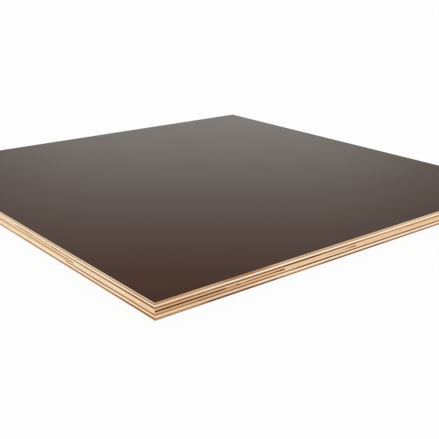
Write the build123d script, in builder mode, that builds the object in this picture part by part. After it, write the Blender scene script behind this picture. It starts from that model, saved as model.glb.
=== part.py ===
from build123d import *
import os

# Film-faced plywood sheet: birch veneers glued crosswise, a thin hard film on each face
# and four sawn edges. Sizes are in millimetres.
#
# The origin is at the centre of the underside, with +Z up and the face grain along X.
# Veneers are counted from the top. Odd ones have their grain along X, and even ones,
# the cross veneers, along Y. The datum corner is the one with the lowest X and the
# lowest Y, and every joint in a core veneer is measured from it.

# Sheet as sawn
sheet_length = 500.0
sheet_width = 500.0

# Lay-up: the two outer veneers are thinner, because they are sanded before filming
veneer_count = 11
core_veneer_thickness = 1.44
face_veneer_thickness = 0.82
film_thickness = 0.2

# Joints of the core veneers: one pulled open in the press, the others nearly closed
open_joint_gap = 0.8
tight_joint_gap = 0.3

# The jointed cross veneer is laid from strips side by side, and its first strip is
# spliced end to end. The last strip fills what is left.
jointed_veneer = 6
first_strip_width = 80.9
second_strip_width = 51.5
third_strip_width = 89.8
first_strip_splice = 121.8

# The spliced cross veneer has one end joint across its whole width
spliced_veneer = 8
spliced_veneer_splice = 135.0

datum_x = -sheet_length / 2
datum_y = -sheet_width / 2

os.makedirs("parts", exist_ok=True)


def edge_joint(from_datum, gap):
    """Gap between two strips of a cross veneer: along the grain, from edge to edge."""
    return (datum_x + from_datum, datum_y, gap, sheet_width)


def splice(from_datum, across):
    """Gap between two ends of a cross veneer: across the grain, as far as the strip goes."""
    return (datum_x, datum_y + from_datum, across, tight_joint_gap)


def joints_of_jointed_veneer():
    """Gaps between the strips, laid one after another from the datum corner."""
    first = first_strip_width
    second = first + open_joint_gap + second_strip_width
    third = second + tight_joint_gap + third_strip_width
    return [
        edge_joint(first, open_joint_gap),
        edge_joint(second, tight_joint_gap),
        edge_joint(third, tight_joint_gap),
        splice(first_strip_splice, first),
    ]


def veneer_name(number):
    """Node name of a veneer, counted from the top."""
    if number in (1, veneer_count):
        return f"face_veneer_{number:02d}"
    if number % 2 == 0:
        return f"cross_veneer_{number:02d}"
    return f"long_veneer_{number:02d}"


def lay_layer(name, level, thickness, gaps=()):
    """Lay one layer on what is below it, sawn to the outline, and return its upper level.

    Each gap is a slot (x, y, size along X, size along Y) that parts the layer's pieces.
    """
    with BuildPart() as layer:
        with BuildSketch(Plane.XY.offset(level)):
            Rectangle(sheet_length, sheet_width)
            for gap_x, gap_y, gap_length, gap_width in gaps:
                with Locations((gap_x, gap_y)):
                    Rectangle(gap_length, gap_width, align=Align.MIN, mode=Mode.SUBTRACT)
        extrude(amount=thickness)
    layer.part.label = name
    export_step(layer.part, f"parts/{name}.step")
    return level + thickness


def veneer_gaps(number):
    """Gaps of a veneer, counted from the top: most are one whole sheet."""
    if number == jointed_veneer:
        return joints_of_jointed_veneer()
    if number == spliced_veneer:
        return [splice(spliced_veneer_splice, sheet_length)]
    return []


def veneer_thickness(number):
    """Thickness of a veneer, counted from the top."""
    return face_veneer_thickness if number in (1, veneer_count) else core_veneer_thickness


# The sheet is laid up from its underside
level = lay_layer("film_underside", 0, film_thickness)
for number in range(veneer_count, 0, -1):
    level = lay_layer(veneer_name(number), level, veneer_thickness(number), veneer_gaps(number))
level = lay_layer("film_top", level, film_thickness)

print(f"sheet {sheet_length:g} x {sheet_width:g} x {level:g} mm, {veneer_count} veneers")
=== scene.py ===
import math
from collections import namedtuple

import bmesh
import bpy
from mathutils import Matrix, Vector, noise


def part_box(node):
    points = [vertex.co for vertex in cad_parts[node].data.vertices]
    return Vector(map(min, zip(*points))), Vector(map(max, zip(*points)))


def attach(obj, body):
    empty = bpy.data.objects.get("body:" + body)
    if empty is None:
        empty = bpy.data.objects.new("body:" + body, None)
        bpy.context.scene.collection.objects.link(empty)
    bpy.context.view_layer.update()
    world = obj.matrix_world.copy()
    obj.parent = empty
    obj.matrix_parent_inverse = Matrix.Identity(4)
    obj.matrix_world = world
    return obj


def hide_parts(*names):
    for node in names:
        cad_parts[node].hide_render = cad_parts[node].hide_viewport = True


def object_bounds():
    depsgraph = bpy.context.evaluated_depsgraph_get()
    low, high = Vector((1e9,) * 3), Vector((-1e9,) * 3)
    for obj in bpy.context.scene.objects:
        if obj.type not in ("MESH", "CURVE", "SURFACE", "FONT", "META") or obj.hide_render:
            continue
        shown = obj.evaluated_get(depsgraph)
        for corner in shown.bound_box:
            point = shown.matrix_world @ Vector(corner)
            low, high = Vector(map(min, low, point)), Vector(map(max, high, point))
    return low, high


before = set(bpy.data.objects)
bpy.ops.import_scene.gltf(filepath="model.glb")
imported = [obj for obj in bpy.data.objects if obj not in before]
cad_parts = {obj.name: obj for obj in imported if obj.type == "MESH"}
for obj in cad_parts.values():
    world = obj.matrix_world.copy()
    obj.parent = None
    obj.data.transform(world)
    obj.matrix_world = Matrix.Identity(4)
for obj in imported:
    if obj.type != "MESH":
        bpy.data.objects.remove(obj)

bl_info = {
    "name": "Plywood sheet",
    "version": (1, 0, 0),
    "blender": (4, 5, 0),
    "location": "3D View > Sidebar > Plywood",
    "description": "Film-faced birch plywood sheet with sawn edges, laid up veneer by veneer",
    "category": "Object",
}

# The sheet lies flat with its underside at Z = 0. Odd veneers have their grain along X,
# and even ones, the cross veneers, along Y. Distances on the sawn edges are measured
# from the datum corner, the one with the lowest X and the lowest Y.
MM = 0.001
SHEET_LOW, SHEET_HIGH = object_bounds()
VENEER_COUNT = sum("veneer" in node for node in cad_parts)

# The two sawn edges that meet at the datum corner, named by the side that they face
LOW_X = "low_x"
LOW_Y = "low_y"

# A number, or a length in metres, too small to matter
NEARLY_ZERO = 1e-7


def srgb(red, green, blue):
    """A colour as it is read off a screen, 0 to 255, in the linear values of a shader."""

    def linear(level):
        share = level / 255
        return share / 12.92 if share <= 0.04045 else ((share + 0.055) / 1.055) ** 2.4

    return (linear(red), linear(green), linear(blue))


# Sizes and colours that a user would change


class PlywoodSizes(bpy.types.PropertyGroup):
    """Fine sizes of the sheet's surfaces"""

    edge_step: bpy.props.FloatProperty(
        name="Edge step",
        description="Spacing of the points along the sawn edges",
        default=2.5 * MM,
        unit="LENGTH",
    )
    waviness: bpy.props.FloatProperty(
        name="Waviness",
        description="How far a glue line wanders up and down between two core veneers",
        default=0.07 * MM,
        precision=6,
        unit="LENGTH",
    )
    core_drop: bpy.props.FloatProperty(
        name="Core drop",
        description="How much lower the core veneers lie away from the datum corner",
        default=0.22 * MM,
        precision=6,
        unit="LENGTH",
    )
    end_grain_relief: bpy.props.FloatProperty(
        name="End grain relief",
        description="How deep the saw tears the end grain below the glue lines",
        default=0.05 * MM,
        precision=6,
        unit="LENGTH",
    )
    long_grain_relief: bpy.props.FloatProperty(
        name="Long grain relief",
        description="How deep the saw cuts the long grain below the glue lines",
        default=0.02 * MM,
        precision=6,
        unit="LENGTH",
    )
    film_arris: bpy.props.FloatProperty(
        name="Film arris",
        description="Rounding of the film's outer edge",
        default=0.06 * MM,
        precision=6,
        unit="LENGTH",
    )
    film_chip: bpy.props.FloatProperty(
        name="Film chip",
        description="How far the saw chips the film back from the edge, at most",
        default=0.25 * MM,
        precision=6,
        unit="LENGTH",
    )


class PlywoodColours(bpy.types.PropertyGroup):
    """Colours of the film, the birch and the stage"""

    film: bpy.props.FloatVectorProperty(
        name="Film",
        description="Dark brown phenolic film",
        default=srgb(67, 38, 25),
        subtype="COLOR",
    )
    film_pale: bpy.props.FloatVectorProperty(
        name="Film, pale fibres",
        description="Where the paper under the resin shows a little",
        default=srgb(75, 45, 31),
        subtype="COLOR",
    )
    film_worn: bpy.props.FloatVectorProperty(
        name="Film, worn",
        description="Bare paper where the film's rim is scuffed",
        default=srgb(110, 68, 40),
        subtype="COLOR",
    )
    film_core: bpy.props.FloatVectorProperty(
        name="Film, cut edge",
        description="Resin-soaked paper where the saw cut through the film",
        default=srgb(66, 40, 28),
        subtype="COLOR",
    )
    heartwood: bpy.props.FloatVectorProperty(
        name="Heartwood",
        description="Darkest wood on the sawn edges",
        default=srgb(90, 38, 12),
        subtype="COLOR",
    )
    brown_wood: bpy.props.FloatVectorProperty(
        name="Brown wood",
        description="Wood of the darker veneers",
        default=srgb(155, 93, 36),
        subtype="COLOR",
    )
    tan_wood: bpy.props.FloatVectorProperty(
        name="Tan wood",
        description="Wood between the dark and the pale veneers",
        default=srgb(202, 151, 98),
        subtype="COLOR",
    )
    cream_wood: bpy.props.FloatVectorProperty(
        name="Cream wood",
        description="Wood of most pale veneers",
        default=srgb(241, 200, 154),
        subtype="COLOR",
    )
    sapwood: bpy.props.FloatVectorProperty(
        name="Sapwood",
        description="Palest birch",
        default=srgb(255, 241, 217),
        subtype="COLOR",
    )
    # Also painted on the faces inside the open joints, partly as their shade
    glue: bpy.props.FloatVectorProperty(
        name="Glue line",
        description="Phenolic glue between the veneers",
        default=srgb(84, 42, 20),
        subtype="COLOR",
    )
    grime: bpy.props.FloatVectorProperty(
        name="Grime",
        description="Dust and hand marks under the top film and by the datum corner",
        default=srgb(188, 175, 165),
        subtype="COLOR",
    )
    floor: bpy.props.FloatVectorProperty(
        name="Floor",
        description="Pale studio floor and background",
        default=(0.99, 0.99, 0.99),
        subtype="COLOR",
    )


# Shader nodes


class Wire:
    """An output socket that Python's operators work on: each adds its Math node."""

    def __init__(self, graph, socket):
        self.graph = graph
        self.socket = socket

    def math(self, operation, *values):
        """A Math node of this socket and the values after it."""
        sockets = dict(enumerate((self, *values)))
        return self.graph.node("ShaderNodeMath", {"operation": operation}, sockets)["Value"]

    def reflected(self, operation, value):
        """A Math node with the value before this socket."""
        sockets = {0: value, 1: self}
        return self.graph.node("ShaderNodeMath", {"operation": operation}, sockets)["Value"]

    def __add__(self, other):
        return self.math("ADD", other)

    def __sub__(self, other):
        return self.math("SUBTRACT", other)

    def __mul__(self, other):
        return self.math("MULTIPLY", other)

    def __truediv__(self, other):
        return self.math("DIVIDE", other)

    def __abs__(self):
        return self.math("ABSOLUTE")

    def __gt__(self, other):
        return self.math("GREATER_THAN", other)

    def __lt__(self, other):
        return self.math("LESS_THAN", other)

    def __radd__(self, other):
        return self.reflected("ADD", other)

    def __rsub__(self, other):
        return self.reflected("SUBTRACT", other)

    def __rmul__(self, other):
        return self.reflected("MULTIPLY", other)

    def __rtruediv__(self, other):
        return self.reflected("DIVIDE", other)

    def rise(self, start, end, kind="SMOOTHSTEP"):
        """0 at start and 1 at end, with a smooth step or a straight slope between."""
        settings = {"interpolation_type": kind}
        sockets = {"Value": self, "From Min": start, "From Max": end}
        return self.graph.node("ShaderNodeMapRange", settings, sockets)["Result"]


class Made:
    """A node's outputs, each picked by its name or identifier."""

    def __init__(self, graph, node):
        self.graph = graph
        self.outputs = node.outputs

    def __getitem__(self, name):
        return Wire(self.graph, socket_named(self.outputs, name))


def socket_named(sockets, name):
    """A socket by its index, its identifier or its name."""
    if isinstance(name, int):
        return sockets[name]
    for socket in sockets:
        if name in (socket.identifier, socket.name):
            return socket
    raise KeyError(f"no socket {name!r} among {[s.identifier for s in sockets]}")


class Graph:
    """The node tree of a material or of the world."""

    def __init__(self, owner):
        owner.use_nodes = True
        self.tree = owner.node_tree
        self.tree.nodes.clear()

    def node(self, kind, settings=None, sockets=None):
        """A node of a kind: its settings are set first, then its sockets' values or links."""
        node = self.tree.nodes.new(kind)
        for name, value in (settings or {}).items():
            if name == "stops":
                self.set_stops(node.color_ramp, value)
            else:
                setattr(node, name, value)
        for name, value in (sockets or {}).items():
            socket = socket_named(node.inputs, name)
            if isinstance(value, Wire):
                self.tree.links.new(value.socket, socket)
            elif isinstance(value, tuple) and len(value) == 3 and socket.type == "RGBA":
                socket.default_value = (*value, 1.0)
            else:
                socket.default_value = value
        return Made(self, node)

    def set_stops(self, ramp, stops):
        """Colour stops of a ramp, each a place from 0 to 1 and a colour."""
        while len(ramp.elements) < len(stops):
            ramp.elements.new(1.0)
        for element, (place, colour) in zip(ramp.elements, stops):
            element.position = place
            element.color = (*colour, 1.0)

    def parts(self, vector):
        """The X, Y and Z parts of a vector."""
        split = self.node("ShaderNodeSeparateXYZ", {}, {"Vector": vector})
        return split["X"], split["Y"], split["Z"]

    def position(self):
        """The three object coordinates, in metres."""
        return self.parts(self.node("ShaderNodeTexCoord")["Object"])

    def normal(self):
        """The three parts of the surface's direction."""
        return self.parts(self.node("ShaderNodeNewGeometry")["Normal"])

    def vector(self, x, y, z):
        """A vector from its three parts."""
        return self.node("ShaderNodeCombineXYZ", {}, {"X": x, "Y": y, "Z": z})["Vector"]

    def noise(self, point, pattern):
        """Soft noise from 0 to 1, about 0.5 on average."""
        sockets = {
            "Vector": point,
            "Scale": pattern.scale,
            "Detail": pattern.detail,
            "Roughness": pattern.roughness,
        }
        return self.node("ShaderNodeTexNoise", {}, sockets)["Fac"]

    def mix(self, share, first, second, blend="MIX"):
        """Two colours mixed, the second by its share."""
        settings = {"data_type": "RGBA", "blend_type": blend}
        sockets = {"Factor_Float": share, "A_Color": first, "B_Color": second}
        return self.node("ShaderNodeMix", settings, sockets)["Result_Color"]

    def bump(self, height, distance):
        """Surface normal from a height from 0 to 1, where 1 stands distance proud."""
        return self.node("ShaderNodeBump", {}, {"Height": height, "Distance": distance})["Normal"]

    def shader(self, **sockets):
        """A shader for a surface: its sockets are named with _ for a space."""
        named = {name.replace("_", " "): value for name, value in sockets.items()}
        return self.node("ShaderNodeBsdfPrincipled", {}, named)["BSDF"]

    def mix_shaders(self, share, first, second):
        """Two shaders mixed, the second by its share."""
        return self.node("ShaderNodeMixShader", {}, {0: share, 1: first, 2: second})["Shader"]

    def finish(self, shader, kind="ShaderNodeOutputMaterial"):
        """Put a shader on the surface of the material, or of the world."""
        self.node(kind, {}, {"Surface": shader})


# A noise: its features a metre, how many finer layers it has, and how strong each layer
# is next to the one before
Pattern = namedtuple("Pattern", "scale detail roughness")

# Noise is taken from its middle where it goes both ways
NOISE_MIDDLE = 0.5

# A face looks along an axis where that part of its direction is over this
SQUARE_ON = 0.5


# Film

# Mottle of soft clouds and paper fibres, which are longer along X. Between the two levels
# the noise goes from no pale fibres to their full share.
FILM_CLOUDS = Pattern(9.0, 3.0, 0.55)
PAPER_FIBRES = Pattern(900.0, 3.0, 0.6)
FIBRE_SQUEEZE = 0.35
CLOUD_SHARE = 0.7
MOTTLE_LEVELS = (0.35, 0.75)
PALE_SHARE = 0.4

# Scuffs of the rim: they thin out between two distances from the sawn edge
RIM_SCUFFS = Pattern(350.0, 3.0, 0.6)
SCUFF_LEVELS = (0.5, 0.62)
SCUFF_REACH = (0.1 * MM, 0.5 * MM)
SCUFF_SHARE = 0.6

# Gloss: smooth resin, a little duller where it was handled and dull where it is scuffed
FILM_IOR = 1.5
FILM_ROUGHNESS = 0.19
HAND_MARKS = Pattern(22.0, 4.0, 0.6)
HAND_MARK_LEVELS = (0.35, 0.8)
HAND_MARK_ROUGHNESS = 0.03
SCUFF_ROUGHNESS = 0.4
CUT_ROUGHNESS = 0.8
CUT_SPECULAR = 0.1

# Ripple of the film, half of it the grain of the veneer below, which runs along X
FILM_RIPPLE = Pattern(260.0, 2.0, 0.5)
SHOWING_GRAIN = Pattern(420.0, 2.0, 0.5)
GRAIN_SQUEEZE = 0.08
GRAIN_SHARE = 0.5
RIPPLE_HEIGHT = 0.004 * MM


def film_finish(colours):
    """Dark phenolic film: resin-soaked paper pressed against a polished plate."""
    material = bpy.data.materials.new("phenolic_film")
    graph = Graph(material)
    x, y, z = graph.position()
    facing_z = graph.normal()[2]
    point = graph.vector(x, y, z)
    clouds = graph.noise(point, FILM_CLOUDS)
    fibres = graph.noise(graph.vector(x * FIBRE_SQUEEZE, y, z), PAPER_FIBRES)
    mottle = (clouds * CLOUD_SHARE + fibres * (1 - CLOUD_SHARE)).rise(*MOTTLE_LEVELS)
    colour = graph.mix(mottle * PALE_SHARE, tuple(colours.film), tuple(colours.film_pale))

    # The rim is scuffed here and there, down to the paper
    from_edge = (SHEET_HIGH.x - abs(x)).math("MINIMUM", SHEET_HIGH.y - abs(y))
    scuffs = graph.noise(point, RIM_SCUFFS).rise(*SCUFF_LEVELS)
    worn = (1 - from_edge.rise(*SCUFF_REACH)) * scuffs * SCUFF_SHARE
    colour = graph.mix(worn, colour, tuple(colours.film_worn))
    handled = graph.noise(point, HAND_MARKS).rise(*HAND_MARK_LEVELS)
    ripple = graph.noise(point, FILM_RIPPLE)
    grain = graph.noise(graph.vector(x * GRAIN_SQUEEZE, y, z), SHOWING_GRAIN)
    height = ripple * (1 - GRAIN_SHARE) + grain * GRAIN_SHARE
    face = graph.shader(
        Base_Color=colour,
        Roughness=FILM_ROUGHNESS + handled * HAND_MARK_ROUGHNESS + worn * SCUFF_ROUGHNESS,
        IOR=FILM_IOR,
        Normal=graph.bump(height, RIPPLE_HEIGHT),
    )

    # The saw leaves the cut edges matt, and drags wood dust over the lower one
    lower = z < SHEET_HIGH.z / 2
    cut_colour = graph.mix(lower, tuple(colours.film_core), tuple(colours.tan_wood))
    cut = graph.shader(
        Base_Color=cut_colour,
        Roughness=CUT_ROUGHNESS,
        Specular_IOR_Level=CUT_SPECULAR,
    )
    graph.finish(graph.mix_shaders(abs(facing_z) < SQUARE_ON, face, cut))
    return material


# Tones of the veneers

# Tone of each veneer from 0, heartwood, to 1, palest sapwood, where it has no mark
VENEER_TONES = {
    1: {LOW_X: 0.98, LOW_Y: 0.70},
    2: {LOW_X: 0.48, LOW_Y: 0.56},
    3: {LOW_X: 1.18, LOW_Y: 1.24},
    4: {LOW_X: 0.57, LOW_Y: 0.23},
    5: {LOW_X: 0.94, LOW_Y: 0.84},
    6: {LOW_X: 1.00, LOW_Y: 0.39},
    7: {LOW_X: 0.88, LOW_Y: 0.82},
    8: {LOW_X: 0.36, LOW_Y: 0.26},
    9: {LOW_X: 1.34, LOW_Y: 1.28},
    10: {LOW_X: 0.36, LOW_Y: 0.47},
    11: {LOW_X: 0.64, LOW_Y: 0.37},
}

# Marks in the wood of the two near edges: where a veneer is darker (below 0) or paler
# (above 0) than the rest of it, from start to end along the edge in mm, with soft ends. One
# dark dash on veneer 6 is painted shade of an open joint's gap
Mark = namedtuple("Mark", "veneer edge start end change soft")

WOOD_AND_SHADE_MARKS = (
    Mark(2, LOW_X, -20, 45, -0.24, 45),
    Mark(2, LOW_X, 105, 145, -0.10, 20),
    Mark(3, LOW_X, -20, 45, -0.26, 40),
    Mark(4, LOW_X, -20, 112, -0.26, 60),
    Mark(4, LOW_X, -20, 45, -0.12, 40),
    Mark(4, LOW_X, 145, 160, -0.18, 10),
    Mark(4, LOW_X, 200, 225, -0.13, 12),
    Mark(4, LOW_X, 234, 520, 0.16, 12),
    Mark(5, LOW_X, -20, 50, -0.12, 60),
    Mark(5, LOW_X, 60, 115, -0.08, 30),
    Mark(6, LOW_X, -20, 45, -0.08, 40),
    Mark(6, LOW_X, 60, 122, -0.05, 20),
    Mark(6, LOW_X, 122, 520, -0.57, 0.6),
    Mark(6, LOW_X, 200, 245, 0.08, 15),
    Mark(7, LOW_X, -20, 55, -0.06, 30),
    Mark(7, LOW_X, 125, 520, -0.09, 20),
    Mark(8, LOW_X, 66, 90, -0.08, 10),
    Mark(8, LOW_X, 118, 134.9, 0.12, 12),
    Mark(8, LOW_X, 135.1, 520, 0.54, 0.6),
    Mark(9, LOW_X, -20, 60, -0.26, 60),
    Mark(9, LOW_X, -20, 3, -0.14, 4),
    Mark(10, LOW_X, -20, 50, -0.33, 40),
    Mark(10, LOW_X, 128, 145, -0.07, 8),
    Mark(10, LOW_X, 228, 520, 0.16, 12),
    Mark(11, LOW_X, -20, 45, 0.06, 20),
    Mark(11, LOW_X, 215, 520, 0.14, 40),
    Mark(1, LOW_Y, -20, 30, -0.20, 20),
    Mark(1, LOW_Y, 62, 112, -0.25, 18),
    Mark(1, LOW_Y, 150, 520, 0.08, 60),
    Mark(1, LOW_Y, 270, 520, 0.08, 40),
    Mark(2, LOW_Y, -20, 112, -0.10, 30),
    Mark(2, LOW_Y, 62, 120, -0.16, 20),
    Mark(2, LOW_Y, 270, 520, 0.08, 40),
    Mark(3, LOW_Y, -20, 55, -0.36, 40),
    Mark(4, LOW_Y, -20, 60, 0.07, 20),
    Mark(4, LOW_Y, 133, 178, -0.17, 12),
    Mark(4, LOW_Y, 235, 520, 0.28, 80),
    Mark(4, LOW_Y, 297, 520, -0.12, 8),
    Mark(5, LOW_Y, -20, 55, -0.16, 60),
    Mark(5, LOW_Y, 95, 180, -0.08, 40),
    Mark(5, LOW_Y, 285, 520, -0.06, 30),
    Mark(6, LOW_Y, -20, 68, -0.36, 6),
    Mark(6, LOW_Y, 90, 133.1, -0.06, 0.6),
    Mark(6, LOW_Y, 123, 133.1, -0.14, 0.6),
    Mark(6, LOW_Y, 130, 133.1, -0.12, 0.6),
    Mark(6, LOW_Y, 133, 520, 0.42, 0.6),
    Mark(6, LOW_Y, 185, 223.3, -0.10, 0.6),
    Mark(6, LOW_Y, 204, 223.3, -0.06, 0.6),
    Mark(6, LOW_Y, 209, 223.3, -0.08, 0.6),
    Mark(6, LOW_Y, 214, 223.3, -0.12, 0.6),
    Mark(6, LOW_Y, 218, 223.3, -0.14, 0.6),
    # Painted shade of an open joint's gap on veneer 6, not darker wood
    Mark(6, LOW_Y, 80.2, 82.6, -0.30, 0.5),
    Mark(7, LOW_Y, -20, 100, -0.18, 60),
    Mark(8, LOW_Y, -20, 35, 0.14, 30),
    Mark(8, LOW_Y, 40, 78, 0.05, 20),
    Mark(8, LOW_Y, 122, 143, 0.14, 12),
    Mark(8, LOW_Y, 148, 202, -0.12, 10),
    Mark(9, LOW_Y, -20, 120, -0.42, 60),
    Mark(9, LOW_Y, 275, 520, -0.24, 60),
    Mark(10, LOW_Y, 48, 95, -0.22, 16),
    Mark(10, LOW_Y, 90, 128, -0.12, 10),
    Mark(10, LOW_Y, 135, 178, 0.08, 15),
    Mark(10, LOW_Y, 185, 265, -0.10, 12),
    Mark(10, LOW_Y, 270, 520, 0.06, 30),
    Mark(11, LOW_Y, -20, 45, 0.07, 20),
    Mark(11, LOW_Y, 48, 126, -0.32, 20),
    Mark(11, LOW_Y, 55, 77, -0.25, 10),
    Mark(11, LOW_Y, 178, 520, -0.27, 15),
)

# Where the wood is yellower than the rest of its veneer, in the same measures: the change
# is the share of the yellow. The mark at the foot of the low-Y edge is painted warm shade
# where the sheet meets the floor
YELLOW_AND_SHADE_MARKS = (
    Mark(9, LOW_X, -20, 30, 0.9, 28),
    Mark(10, LOW_X, -20, 54, 0.9, 40),
    # Painted warm shade at the foot of the low-Y edge, by the floor
    Mark(11, LOW_Y, 275, 520, 0.8, 30),
)

# Surfaces of the veneers further inside than this are the walls of a joint
JOINT_DEPTH = 1 * MM


class SawnFaces:
    """Which way each point of a veneer looks, and how far along its edge it lies."""

    def __init__(self, graph):
        self.x, self.y, self.z = graph.position()
        self.facing_x, self.facing_y, self.facing_z = (
            abs(part) > SQUARE_ON for part in graph.normal()
        )
        self.from_low_x = self.x - SHEET_LOW.x
        from_low_y = self.y - SHEET_LOW.y
        self.near = {
            LOW_X: self.facing_x * (self.x < 0),
            LOW_Y: self.facing_y * (self.y < 0),
        }
        inside_x = self.facing_x * (abs(self.x) < SHEET_HIGH.x - JOINT_DEPTH)
        inside_y = self.facing_y * (abs(self.y) < SHEET_HIGH.y - JOINT_DEPTH)
        self.in_joint = inside_x + inside_y
        self.along = (self.from_low_x * (1 - self.facing_x) + from_low_y * self.facing_x) / MM


def band(along, mark):
    """1 inside a mark and 0 outside it, with soft ends."""
    half = mark.soft / 2
    inside = along.rise(mark.start - half, mark.start + half)
    return inside * (1 - along.rise(mark.end - half, mark.end + half))


def marked(marks, number, faces):
    """What the marks of a veneer add up to along its near edges."""
    total = 0.0
    for mark in marks:
        if mark.veneer == number:
            total = total + band(faces.along, mark) * faces.near[mark.edge] * mark.change
    return total


def veneer_tone(number, faces):
    """Tone of a veneer along its sawn edges, from 0 to 1."""
    tones = VENEER_TONES[number]
    elsewhere = sum(tones.values()) / len(tones)
    tone = elsewhere
    for edge in (LOW_X, LOW_Y):
        tone = tone + faces.near[edge] * (tones[edge] - elsewhere)
    return tone + marked(WOOD_AND_SHADE_MARKS, number, faces)


# Wood

# Changes of tone within a veneer: slow ones over centimetres, and streaks many times as
# long as they are high. Each veneer reads its noise a shift away from the next one's.
VENEER_SHIFT = 0.37
SLOW_CHANGES = Pattern(14.0, 2.0, 0.5)
SLOW_TONE = 0.18
STREAKS = Pattern(120.0, 3.0, 0.6)
STREAK_LENGTH = 30
STREAK_TONE = 0.28
FINE_STREAKS = Pattern(700.0, 2.0, 0.6)
FINE_STREAK_LENGTH = 12
FINE_STREAK_TONE = 0.12

# Pores of the end grain: how many lie along a metre, and the distances from a pore's
# middle, as shares of their spacing, at which it begins and at which it is fully open
PORE_SCALE = 4200.0
PORE_LEVELS = (0.22, 0.12)
PORE_TONE = 0.18

# Grime fades out between two depths under the top film and between two distances from
# the datum corner, and between two tones, because dark wood shows none
SMUDGES = Pattern(60.0, 3.0, 0.6)
SMUDGE_LEVELS = (0.25, 0.65)
GRIME_DEPTHS = (0.8 * MM, 2.2 * MM)
GRIME_REACH = (60 * MM, 150 * MM)
GRIME_TONES = (0.05, 0.4)
FILM_GRIME = 0.1
FILM_GRIME_ON_LOW_Y = 0.3
CORNER_GRIME = 0.16

# Across a veneer's edge, -1 at its lower glue line and 1 at its upper one: where the top
# film's resin soaks in, and where the glue line begins
SOAKED_LEVELS = (0.2, 0.5)
SOAKED_SHARE = 0.2
SOAKED_SHARE_ON_LOW_X = 0.7
GLUE_LEVELS = (0.86, 0.96)
GLUE_LINE_SHARE = 0.35
# Glue colour on the faces that an open joint lays bare: partly glue, partly painted shade of the
# gap
GLUE_AND_SHADE_FACE_SHARE = 0.9

# Surface: rougher on the end grain and smoother on the glue, with streaks and saw marks
# standing proud and the pores open
WOOD_IOR = 1.45
WOOD_SPECULAR = 0.2
WOOD_ROUGHNESS = 0.62
END_GRAIN_ROUGHNESS = 0.15
GLUE_SMOOTHNESS = 0.1
SAW_MARKS = Pattern(60.0, 2.0, 0.5)
SAW_MARK_SQUEEZE = 30
SAW_MARK_HEIGHT = 0.15
STREAK_HEIGHT = 0.6
PORE_DEPTH = 0.5
SAWN_HEIGHT = 0.015 * MM


def is_cross(number):
    """Whether a veneer has its grain along Y."""
    return number % 2 == 0


def grime_share(graph, faces, tone):
    """How grey handling has left the wood, from 0 to 1."""
    smudges = graph.noise(graph.vector(faces.x, faces.y, faces.z), SMUDGES)
    depth = SHEET_HIGH.z - faces.z
    film_grime = FILM_GRIME + faces.near[LOW_Y] * FILM_GRIME_ON_LOW_Y
    by_film = (1 - depth.rise(*GRIME_DEPTHS)) * film_grime
    by_corner = faces.near[LOW_Y] * (1 - faces.from_low_x.rise(*GRIME_REACH)) * CORNER_GRIME
    grime = by_film.math("MAXIMUM", by_corner)
    return grime * smudges.rise(*SMUDGE_LEVELS) * tone.rise(*GRIME_TONES)


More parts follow.
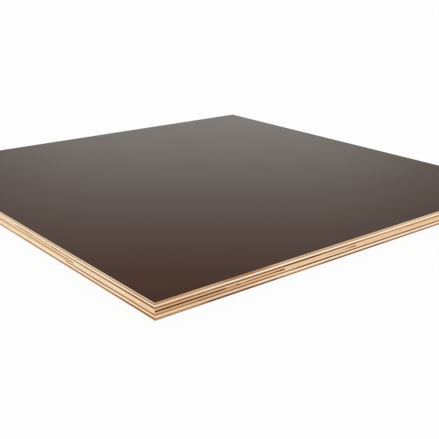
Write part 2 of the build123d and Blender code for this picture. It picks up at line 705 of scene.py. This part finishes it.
def veneer_finish(colours, number):
    """Sawn birch: pores on the end grain, and long streaks on every edge."""
    material = bpy.data.materials.new(f"birch_{number:02d}")
    graph = Graph(material)
    faces = SawnFaces(graph)
    shift = number * VENEER_SHIFT

    def streaky(length, pattern):
        """Noise about 0, stretched to a length in times its height."""
        point = graph.vector(faces.x, faces.y, faces.z * length + shift)
        return graph.noise(point, pattern) - NOISE_MIDDLE

    slow = streaky(1, SLOW_CHANGES)
    streaks = streaky(STREAK_LENGTH, STREAKS)
    fine = streaky(FINE_STREAK_LENGTH, FINE_STREAKS)
    tone = veneer_tone(number, faces)
    tone = tone + slow * SLOW_TONE + streaks * STREAK_TONE + fine * FINE_STREAK_TONE

    # End grain shows where the grain runs into the edge
    end_grain = faces.facing_y if is_cross(number) else faces.facing_x
    point = graph.vector(faces.x, faces.y, faces.z + shift)
    cells = graph.node(
        "ShaderNodeTexVoronoi", {"feature": "F1"}, {"Vector": point, "Scale": PORE_SCALE}
    )
    pores = cells["Distance"].rise(*PORE_LEVELS) * end_grain
    tone = tone - pores * PORE_TONE

    woods = (
        colours.heartwood,
        colours.brown_wood,
        colours.tan_wood,
        colours.cream_wood,
        colours.sapwood,
    )
    stops = [(place / (len(woods) - 1), tuple(wood)) for place, wood in enumerate(woods)]
    wood = graph.node("ShaderNodeValToRGB", {"stops": stops}, {"Fac": tone})["Color"]
    # Yellower wood, and a painted warm shade at the foot of the low-Y edge
    yellow_and_shade = marked(YELLOW_AND_SHADE_MARKS, number, faces)
    wood = graph.mix(yellow_and_shade, wood, tuple(colours.sapwood), "MULTIPLY")
    wood = graph.mix(grime_share(graph, faces, tone), wood, tuple(colours.grime))

    across = graph.node("ShaderNodeAttribute", {"attribute_name": "across"})["Fac"]
    if number == 1:
        # The top film's resin soaks a little way into the veneer under it
        soaked_share = SOAKED_SHARE + faces.near[LOW_X] * SOAKED_SHARE_ON_LOW_X
        soaked = across.rise(*SOAKED_LEVELS) * soaked_share
        wood = graph.mix(soaked, wood, tuple(colours.brown_wood))

    # The glue shows as a thin line at the top and bottom of the veneer. It also colours the faces
    # that an open joint lays bare: partly glue, and partly painted shade of the narrow gap
    glue_line = abs(across).rise(*GLUE_LEVELS)
    # Faces inside an open joint and hidden faces: glue colour that is partly painted shade
    covered = faces.in_joint.math("MAXIMUM", faces.facing_z)
    glue_and_joint_shade = (glue_line * GLUE_LINE_SHARE).math("MAXIMUM", covered * GLUE_AND_SHADE_FACE_SHARE)
    colour = graph.mix(glue_and_joint_shade, wood, tuple(colours.glue))

    upright = graph.vector(faces.x * SAW_MARK_SQUEEZE, faces.y * SAW_MARK_SQUEEZE, faces.z)
    saw_marks = graph.noise(upright, SAW_MARKS)
    height = streaks * STREAK_HEIGHT + saw_marks * SAW_MARK_HEIGHT - pores * PORE_DEPTH
    sawn = graph.shader(
        Base_Color=colour,
        Roughness=WOOD_ROUGHNESS + end_grain * END_GRAIN_ROUGHNESS - glue_line * GLUE_SMOOTHNESS,
        IOR=WOOD_IOR,
        Specular_IOR_Level=WOOD_SPECULAR,
        Normal=graph.bump(height, SAWN_HEIGHT),
    )
    graph.finish(sawn)
    return material


# Slabs and pieces

# Points of a CAD mesh this near each other are one
SAME_PLACE = 0.01 * MM

# Rim round the plain middle of each slab, narrower than the edge step
RIM_WIDTH = 1.5 * MM

# Each seed's noise lies this far from the one before, in noise units
SEED_STEPS = (7.1, 3.7, 5.3)


def solid_boxes(node):
    """Lowest and highest corner of each separate solid of a CAD node."""
    mesh = bmesh.new()
    mesh.from_mesh(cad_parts[node].data)
    bmesh.ops.remove_doubles(mesh, verts=mesh.verts, dist=SAME_PLACE)
    waiting = set(mesh.verts)
    boxes = []
    while waiting:
        reached = [waiting.pop()]
        for vertex in reached:
            for edge in vertex.link_edges:
                other = edge.other_vert(vertex)
                if other in waiting:
                    waiting.remove(other)
                    reached.append(other)
        low = Vector([min(vertex.co[axis] for vertex in reached) for axis in range(3)])
        high = Vector([max(vertex.co[axis] for vertex in reached) for axis in range(3)])
        boxes.append((low, high))
    mesh.free()
    return sorted(boxes, key=lambda box: tuple(box[0]))


def add_outline(mesh, low, high, step):
    """The slab's outline at its underside, as edges with a point every step."""
    made = bmesh.ops.create_grid(mesh, x_segments=1, y_segments=1, size=0.5)["verts"]
    middle = (low + high) / 2
    bmesh.ops.scale(mesh, vec=(high.x - low.x, high.y - low.y, 1), verts=made)
    bmesh.ops.translate(mesh, vec=(middle.x, middle.y, low.z), verts=made)
    sides = list({edge for vertex in made for edge in vertex.link_edges})
    bmesh.ops.delete(mesh, geom=list(made[0].link_faces), context="FACES_ONLY")
    outline = []
    for side in sides:
        cuts = max(1, round(side.calc_length() / step) - 1)
        parts = bmesh.ops.subdivide_edges(mesh, edges=[side], cuts=cuts)["geom"]
        outline.extend(part for part in parts if isinstance(part, bmesh.types.BMEdge))
    return outline


def raise_outline(mesh, outline, height):
    """Extrude a closed outline upwards: returns the raised one."""
    raised = bmesh.ops.extrude_edge_only(mesh, edges=outline)["geom"]
    points = {part for part in raised if isinstance(part, bmesh.types.BMVert)}
    bmesh.ops.translate(mesh, vec=(0, 0, height), verts=list(points))
    return [
        part for part in raised
        if isinstance(part, bmesh.types.BMEdge) and points.issuperset(part.verts)
    ]


def add_slab(mesh, low, high, step, levels=()):
    """A closed flat slab with a point every step along its sides, and a loop at each level.

    Levels are shares of the thickness. The top and the bottom are plain inside a narrow rim.
    """
    underside = add_outline(mesh, low, high, step)
    outline = underside
    height = high.z - low.z
    for level, below in zip((*levels, 1.0), (0.0, *levels)):
        outline = raise_outline(mesh, outline, height * (level - below))
    caps = [
        bmesh.ops.contextual_create(mesh, geom=edges)["faces"][0]
        for edges in (underside, outline)
    ]
    bmesh.ops.inset_region(mesh, faces=caps, thickness=RIM_WIDTH, use_even_offset=True)
    bmesh.ops.poke(mesh, faces=caps)


def new_piece(name, mesh, material, node):
    """An object for a finished mesh, which stands for a CAD node."""
    bmesh.ops.recalc_face_normals(mesh, faces=mesh.faces)
    data = bpy.data.meshes.new(name)
    mesh.to_mesh(data)
    mesh.free()
    piece = bpy.data.objects.new(name, data)
    bpy.context.scene.collection.objects.link(piece)
    piece.data.materials.append(material)
    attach(piece, "root")
    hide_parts(node)


def inward(point):
    """Direction into the sheet from a point on a sawn edge, or none away from the edges."""
    direction = Vector((0, 0, 0))
    for axis in (0, 1):
        if point[axis] - SHEET_LOW[axis] < NEARLY_ZERO:
            direction[axis] = 1
        if SHEET_HIGH[axis] - point[axis] < NEARLY_ZERO:
            direction[axis] = -1
    return direction


def noise_at(point, size, seed):
    """Smooth noise from about -1 to 1 that changes over a length, and differs by its seed."""
    return noise.noise(Vector(point) / size + Vector([seed * step for step in SEED_STEPS]))


# Shape of the films

# Chips in the top film's rim: how long they are along it, where their noise is read, and
# the level at which they start
CHIP_LENGTH = 4 * MM
CHIP_SEED = 11
CHIP_START = 0.25


def outer_arris(mesh, outer_z):
    """Where a film's outer face meets its sawn edges."""

    def on_arris(vertex):
        return abs(vertex.co.z - outer_z) < NEARLY_ZERO and inward(vertex.co).length > 0

    return [edge for edge in mesh.edges if all(on_arris(vertex) for vertex in edge.verts)]


def chip_rim(mesh, sizes):
    """Chip the top film's rim back where the saw tore it, and leave it inside the sheet."""
    for vertex in mesh.verts:
        direction = inward(vertex.co)
        below_arris = SHEET_HIGH.z - vertex.co.z > sizes.film_arris + NEARLY_ZERO
        if direction.length == 0 or below_arris:
            continue
        chips = max(0.0, noise_at(vertex.co, CHIP_LENGTH, CHIP_SEED) - CHIP_START)
        vertex.co += direction * chips * sizes.film_chip


def make_film(context, name, node, material, on_top):
    """One film with its outer edge rounded, and chipped too where it is the top one."""
    sizes = context.scene.plywood_sizes
    low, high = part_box(node)
    mesh = bmesh.new()
    add_slab(mesh, low, high, sizes.edge_step)
    arris = outer_arris(mesh, high.z if on_top else low.z)
    bmesh.ops.bevel(
        mesh, geom=arris, offset=sizes.film_arris, affect="EDGES",
        segments=2, profile=0.5, material=-1,
    )
    if on_top:
        chip_rim(mesh, sizes)
    new_piece(name, mesh, material, node)


# Shape of the sawn veneers

# Loops across each veneer's edge, as shares of its thickness. The saw cuts the wood back
# between them, by a share of the relief that changes along the edge, and the glue lines
# stay flush.
RELIEF_LEVELS = (0.07, 0.3, 0.7, 0.93)
RELIEF_LENGTH = 3 * MM
RELIEF_MIDDLE = 0.6
RELIEF_CHANGE = 0.4

# Veneers are never quite equally thick, so some glue lines lie above or below their level:
# each by this much on the low-X edge and on the low-Y edge
GLUE_LINE_OFFSETS = {
    1: (-0.34 * MM, 0.0),
    2: (0.08 * MM, 0.18 * MM),
    3: (-0.12 * MM, -0.06 * MM),
    4: (-0.18 * MM, -0.18 * MM),
    5: (-0.18 * MM, -0.08 * MM),
    6: (-0.10 * MM, 0.0),
    8: (0.10 * MM, 0.0),
    9: (-0.28 * MM, -0.44 * MM),
}

# The core veneers come down to their full drop this far from the datum corner, and the
# offsets of one edge give way to the other's round it
DROP_RUN = 80 * MM
CORNER_RUN = 5 * MM

# A glue line wanders over this length, and fully from this many lines inside the outer one
WANDER_LENGTH = 38 * MM
STIFF_LINES = 2


def glue_line_height(sizes, point, glue_line):
    """How far a glue line lies above its level. Glue lines are counted from the top film's."""
    if glue_line <= 0 or glue_line >= VENEER_COUNT:
        return 0.0
    wander = sizes.waviness * noise_at((point.x, point.y, 0), WANDER_LENGTH, glue_line)
    from_low_x = point.x - SHEET_LOW.x
    from_low_y = point.y - SHEET_LOW.y
    lines_inside = min(glue_line - 1, VENEER_COUNT - glue_line)
    in_core = min(1.0, lines_inside / STIFF_LINES)
    drop = sizes.core_drop * in_core * min(1.0, (from_low_x + from_low_y) / DROP_RUN)
    by_low_x = (from_low_y + CORNER_RUN) / (from_low_x + from_low_y + 2 * CORNER_RUN)
    on_low_x, on_low_y = GLUE_LINE_OFFSETS.get(glue_line, (0.0, 0.0))
    offset = on_low_x * by_low_x + on_low_y * (1 - by_low_x)
    return offset + wander * in_core - drop


def shape_veneer(mesh, sizes, number, low, high):
    """Wander the veneer's glue lines, cut its edges back between them, and note the level."""
    across = mesh.verts.layers.float.new("across")
    for vertex in mesh.verts:
        share = (vertex.co.z - low.z) / (high.z - low.z)
        vertex[across] = 2 * share - 1
        direction = inward(vertex.co)
        if direction.length == 0:
            continue
        if NEARLY_ZERO < share < 1 - NEARLY_ZERO:
            end_grain = direction.y != 0 if is_cross(number) else direction.x != 0
            relief = sizes.end_grain_relief if end_grain else sizes.long_grain_relief
            change = RELIEF_CHANGE * noise_at(vertex.co, RELIEF_LENGTH, number)
            vertex.co += direction * relief * (RELIEF_MIDDLE + change)
        above = glue_line_height(sizes, vertex.co, number - 1)
        below = glue_line_height(sizes, vertex.co, number)
        vertex.co.z += below * (1 - share) + above * share


def make_veneer(context, number, node, boxes):
    """One veneer of the lay-up, from its solids' boxes, as a piece with its own wood."""
    sizes = context.scene.plywood_sizes
    low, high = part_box(node)
    mesh = bmesh.new()
    for solid_low, solid_high in boxes:
        add_slab(mesh, solid_low, solid_high, sizes.edge_step, RELIEF_LEVELS)
    shape_veneer(mesh, sizes, number, low, high)
    slot = "birch_cross_grain" if is_cross(number) else "birch_long_grain"
    material = veneer_finish(context.scene.plywood_colours, number)
    new_piece(f"birch_veneer_{number:02d}", mesh, material, node)


def veneers():
    """The CAD veneers from the top: each one's number, node and solids' boxes."""
    numbered = sorted((int(node[-2:]), node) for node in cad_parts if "veneer" in node)
    return [(number, node, solid_boxes(node)) for number, node in numbered]


# Stage

# Camera, from the sheet's outlines in the photograph
CAMERA_PLACE = (-540.64 * MM, -674.95 * MM, 258.19 * MM)
CAMERA_HEADING = math.radians(39.626)
CAMERA_TILT = math.radians(19.125)
CAMERA_ROLL = math.radians(0.666)
CAMERA_LENS = 62.769
CAMERA_SENSOR = 36.0
CAMERA_NEAR = 0.01
CAMERA_FAR = 100.0

# Floor: white paper, which mostly looks evenly lit to the camera
FLOOR_SIZE = 40.0
FLOOR_DROP = 0.3 * MM
FLOOR_MARGIN = 5 * MM
FLOOR_PAPER = (0.93, 0.93, 0.93)
FLOOR_GLOW_SHARE = 0.92

# Room: how bright it is in all, and what a glossy surface mirrors of it. The wall beyond
# the sheet is paler than the side walls: its spread is in cosines of the angle from its
# middle, a little left of straight ahead, and the walls fade to the ceiling between two
# sines of the height.
ROOM_LEVEL = 1.0
ROOM_COLOUR = (1.0, 1.0, 1.0)
WALL_COLOUR = (0.99, 1.035, 0.98)
WALL_HEADING = CAMERA_HEADING - math.radians(1.5)
END_WALL_LEVEL = 0.65
SIDE_WALL_LEVEL = 0.36
END_WALL_SPREAD = (0.94, 1.0)
CEILING_LEVEL = 0.01
WALL_FADE = (0.225, 0.43)


def place_camera():
    """A camera at the photograph's viewing angle."""
    data = bpy.data.cameras.new("camera")
    data.lens = CAMERA_LENS
    data.sensor_width = CAMERA_SENSOR
    data.clip_start = CAMERA_NEAR
    data.clip_end = CAMERA_FAR
    camera = bpy.data.objects.new("camera", data)
    bpy.context.scene.collection.objects.link(camera)
    turn = (
        Matrix.Rotation(-CAMERA_HEADING, 4, "Z")
        @ Matrix.Rotation(math.pi / 2 - CAMERA_TILT, 4, "X")
        @ Matrix.Rotation(CAMERA_ROLL, 4, "Z")
    )
    camera.matrix_world = Matrix.Translation(CAMERA_PLACE) @ turn
    bpy.context.scene.camera = camera


def floor_finish(colour):
    """Pale floor: mostly plain white to the camera, so that only a faint shadow is left."""
    material = bpy.data.materials.new("studio_floor")
    graph = Graph(material)
    paper = graph.node("ShaderNodeBsdfDiffuse", {}, {"Color": FLOOR_PAPER})
    glow = graph.node("ShaderNodeEmission", {}, {"Color": tuple(colour), "Strength": 1.0})
    seen = graph.node("ShaderNodeLightPath")["Is Camera Ray"]
    lit = graph.mix_shaders(seen * FLOOR_GLOW_SHARE, paper["BSDF"], glow["Emission"])

    # Seen from below the floor is clear, and right under the sheet it lets the light through
    below = graph.node("ShaderNodeNewGeometry")["Backfacing"]
    x, y = graph.position()[:2]
    covered = (abs(x) < SHEET_HIGH.x - FLOOR_MARGIN) * (abs(y) < SHEET_HIGH.y - FLOOR_MARGIN)
    clear = graph.node("ShaderNodeBsdfTransparent")["BSDF"]
    graph.finish(graph.mix_shaders(below.math("MAXIMUM", covered), lit, clear))
    return material


def make_floor(colour):
    """A wide pale floor just under the sheet."""
    mesh = bmesh.new()
    bmesh.ops.create_grid(mesh, x_segments=1, y_segments=1, size=FLOOR_SIZE / 2)
    bmesh.ops.translate(mesh, vec=(0, 0, SHEET_LOW.z - FLOOR_DROP), verts=mesh.verts)
    data = bpy.data.meshes.new("floor")
    mesh.to_mesh(data)
    mesh.free()
    floor = bpy.data.objects.new("floor", data)
    floor.data.materials.append(floor_finish(colour))
    bpy.context.scene.collection.objects.link(floor)


def light_world(colour):
    """White studio walls that darken towards the ceiling in what a glossy surface mirrors."""
    world = bpy.data.worlds.new("studio")
    bpy.context.scene.world = world
    graph = Graph(world)
    x, y, height = graph.parts(graph.node("ShaderNodeTexCoord")["Generated"])
    ahead = x * math.sin(WALL_HEADING) + y * math.cos(WALL_HEADING)
    facing = ahead / (1 - height * height + NEARLY_ZERO).math("SQRT")
    wall = SIDE_WALL_LEVEL + (END_WALL_LEVEL - SIDE_WALL_LEVEL) * facing.rise(*END_WALL_SPREAD)
    fade = height.rise(*WALL_FADE, kind="LINEAR")
    mirrored = CEILING_LEVEL + (wall - CEILING_LEVEL) * (1 - fade)
    rays = graph.node("ShaderNodeLightPath")
    glossy = rays["Is Glossy Ray"]
    level = (1 - glossy) * ROOM_LEVEL + glossy * mirrored
    paint = graph.mix(glossy, ROOM_COLOUR, WALL_COLOUR)
    room = graph.node("ShaderNodeBackground", {}, {"Color": paint, "Strength": level})
    backdrop = graph.node("ShaderNodeBackground", {}, {"Color": tuple(colour), "Strength": 1.0})
    seen = rays["Is Camera Ray"].math("MAXIMUM", rays["Is Transmission Ray"])
    sky = graph.mix_shaders(seen, room["Background"], backdrop["Background"])
    graph.finish(sky, "ShaderNodeOutputWorld")


# Operators, one for the stage and one for each group of like pieces


class PLYWOOD_OT_stage(bpy.types.Operator):
    """Set the camera, the pale floor and the soft studio light"""

    bl_idname = "plywood.stage"
    bl_label = "Stage"

    def execute(self, context):
        colours = context.scene.plywood_colours
        context.scene.view_settings.view_transform = "Standard"
        place_camera()
        make_floor(colours.floor)
        light_world(colours.floor)
        return {"FINISHED"}


class PLYWOOD_OT_films(bpy.types.Operator):
    """Press the hard film on the top and on the underside"""

    bl_idname = "plywood.films"
    bl_label = "Films"

    def execute(self, context):
        material = film_finish(context.scene.plywood_colours)
        make_film(context, "top_film", "film_top", material, on_top=True)
        make_film(context, "underside_film", "film_underside", material, on_top=False)
        return {"FINISHED"}


class PLYWOOD_OT_whole_veneers(bpy.types.Operator):
    """Lay the veneers that are one sheet each"""

    bl_idname = "plywood.whole_veneers"
    bl_label = "Whole veneers"

    def execute(self, context):
        for number, node, boxes in veneers():
            if len(boxes) == 1:
                make_veneer(context, number, node, boxes)
        return {"FINISHED"}


class PLYWOOD_OT_jointed_veneers(bpy.types.Operator):
    """Lay the core veneers that are joined from several pieces"""

    bl_idname = "plywood.jointed_veneers"
    bl_label = "Jointed veneers"

    def execute(self, context):
        for number, node, boxes in veneers():
            if len(boxes) > 1:
                make_veneer(context, number, node, boxes)
        return {"FINISHED"}


# Sidebar and start


class PLYWOOD_PT_panel(bpy.types.Panel):
    """Sizes, colours and pieces of the plywood sheet"""

    bl_idname = "PLYWOOD_PT_panel"
    bl_label = "Plywood sheet"
    bl_space_type = "VIEW_3D"
    bl_region_type = "UI"
    bl_category = "Plywood"

    def draw(self, context):
        layout = self.layout
        for group in (context.scene.plywood_sizes, context.scene.plywood_colours):
            box = layout.box()
            for name in group.__annotations__:
                box.prop(group, name)
        for operator in OPERATORS:
            layout.operator(operator.bl_idname)


OPERATORS = (
    PLYWOOD_OT_stage,
    PLYWOOD_OT_films,
    PLYWOOD_OT_whole_veneers,
    PLYWOOD_OT_jointed_veneers,
)
CLASSES = (PlywoodSizes, PlywoodColours, *OPERATORS, PLYWOOD_PT_panel)


def register():
    for registered in CLASSES:
        bpy.utils.register_class(registered)
    bpy.types.Scene.plywood_sizes = bpy.props.PointerProperty(type=PlywoodSizes)
    bpy.types.Scene.plywood_colours = bpy.props.PointerProperty(type=PlywoodColours)


def unregister():
    del bpy.types.Scene.plywood_colours
    del bpy.types.Scene.plywood_sizes
    for registered in reversed(CLASSES):
        bpy.utils.unregister_class(registered)


def main():
    """Make the whole scene."""
    register()
    bpy.ops.plywood.stage()
    bpy.ops.plywood.films()
    bpy.ops.plywood.whole_veneers()
    bpy.ops.plywood.jointed_veneers()


if __name__ == "__main__":
    main()
